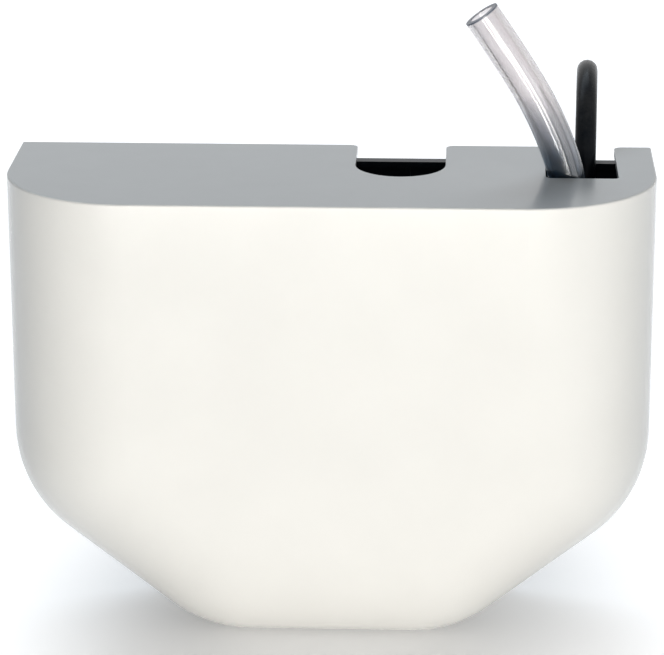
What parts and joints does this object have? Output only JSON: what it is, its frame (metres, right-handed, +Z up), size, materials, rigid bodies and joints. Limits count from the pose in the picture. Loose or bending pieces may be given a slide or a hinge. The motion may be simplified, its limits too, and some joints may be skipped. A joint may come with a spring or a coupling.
{
  "type": "condensate pump",
  "caption": "Small condensate pump: collecting tank, vertical motor pump, float switches and check valve behind a slide-off white cover with pipe notches in its top edge.",
  "frame": {"origin": "middle of the base, on the surface it stands on", "axes": "+Z up, the cover's flat front faces -Y, +X to the right seen from the front"},
  "size_m": [0.226, 0.2005, 0.2158],
  "materials": {
    "cover_plastic": "glossy warm white moulded",
    "chassis_plastic": "black moulded, fine grain",
    "tank_plastic": "natural polypropylene, milky",
    "lid_plastic": "dark grey moulded",
    "pump_plastic": "glass filled, matt",
    "impeller_plastic": "acetal, satin",
    "float_foam": "white polypropylene float",
    "stem_plastic": "white nylon",
    "black_rubber": "matt",
    "grey_rubber": "matt",
    "lamination_steel": "stacked sheets, dark edge",
    "bright_steel": "bright turned or plated",
    "bracket_alloy": "die cast, satin",
    "bush_bronze": "sintered bronze",
    "winding_copper": "enamelled wire",
    "fan_plastic": "black moulded",
    "case_plastic": "light grey moulded",
    "board_laminate": "green solder mask",
    "relay_plastic": "dark blue moulded",
    "terminal_plastic": "green moulded",
    "clear_hose": "clear flexible vinyl",
    "cord_jacket": "black sheath, satin",
    "tie_wire": "black coated tie",
    "plug_plastic": "black moulded",
    "pin_nickel": "nickel plated"
  },
  "bodies": {
    "pump": {"rear_chassis": "chassis_plastic", "chassis_screws": "bright_steel", "tank": "tank_plastic", "lid_gasket": "grey_rubber", "tank_lid": "lid_plastic", "lid_screws": "bright_steel", "inlet_bush": "grey_rubber", "inlet_strainer": "stem_plastic", "stator_core": "lamination_steel", "motor_coil": "winding_copper", "lower_bracket": "bracket_alloy", "upper_bracket": "bracket_alloy", "lower_bearing": "bush_bronze", "upper_bearing": "bush_bronze", "motor_screws": "bright_steel", "pump_column": "pump_plastic", "column_screws": "bright_steel", "volute": "pump_plastic", "volute_cover": "pump_plastic", "volute_screws": "bright_steel", "discharge_pipe": "stem_plastic", "valve_body": "pump_plastic", "valve_seal": "black_rubber", "valve_spring": "bright_steel", "outlet_barb": "pump_plastic", "hose_clip": "bright_steel", "main_stem": "stem_plastic", "main_stop_clip": "bright_steel", "alarm_stem": "stem_plastic", "alarm_stop_clip": "bright_steel", "stem_nuts": "lid_plastic", "control_case": "case_plastic", "control_cover": "case_plastic", "control_board": "board_laminate", "board_relay": "relay_plastic", "terminal_block": "terminal_plastic", "case_screws": "bright_steel", "strain_relief": "black_rubber", "outlet_hose": "clear_hose", "power_cord": "cord_jacket", "cord_coil": "cord_jacket", "cord_tail": "cord_jacket", "cord_tie": "tie_wire", "plug_body": "plug_plastic", "plug_pins": "pin_nickel"},
    "cover": {"front_cover": "cover_plastic"},
    "rotor": {"rotor_core": "lamination_steel", "rotor_shaft": "bright_steel", "cooling_fan": "fan_plastic", "shaft_slinger": "black_rubber", "impeller": "impeller_plastic"},
    "level_float": {"main_float": "float_foam"},
    "high_level_float": {"alarm_float": "float_foam"},
    "poppet": {"valve_poppet": "impeller_plastic"}
  },
  "joints": [
    {"name": "cover_slide", "type": "slide", "parent": "pump", "child": "cover", "axis": [0, -1, 0], "range_m": [0, 0.09]},
    {"name": "rotor_spin", "type": "hinge", "parent": "pump", "child": "rotor", "pos_m": [-0.03, 0.006, 0.106], "axis": [0, 0, 1], "continuous": true},
    {"name": "level_float_rise", "type": "slide", "parent": "pump", "child": "level_float", "axis": [0, 0, 1], "range_m": [0, 0.022]},
    {"name": "high_level_float_rise", "type": "slide", "parent": "pump", "child": "high_level_float", "axis": [0, 0, 1], "range_m": [0, 0.008]},
    {"name": "poppet_lift", "type": "slide", "parent": "pump", "child": "poppet", "axis": [0, 0, 1], "range_m": [0, 0.004], "stiffness_N_per_m": 60, "springref_m": -0.003, "deforming": ["valve_spring"]}
  ]
}
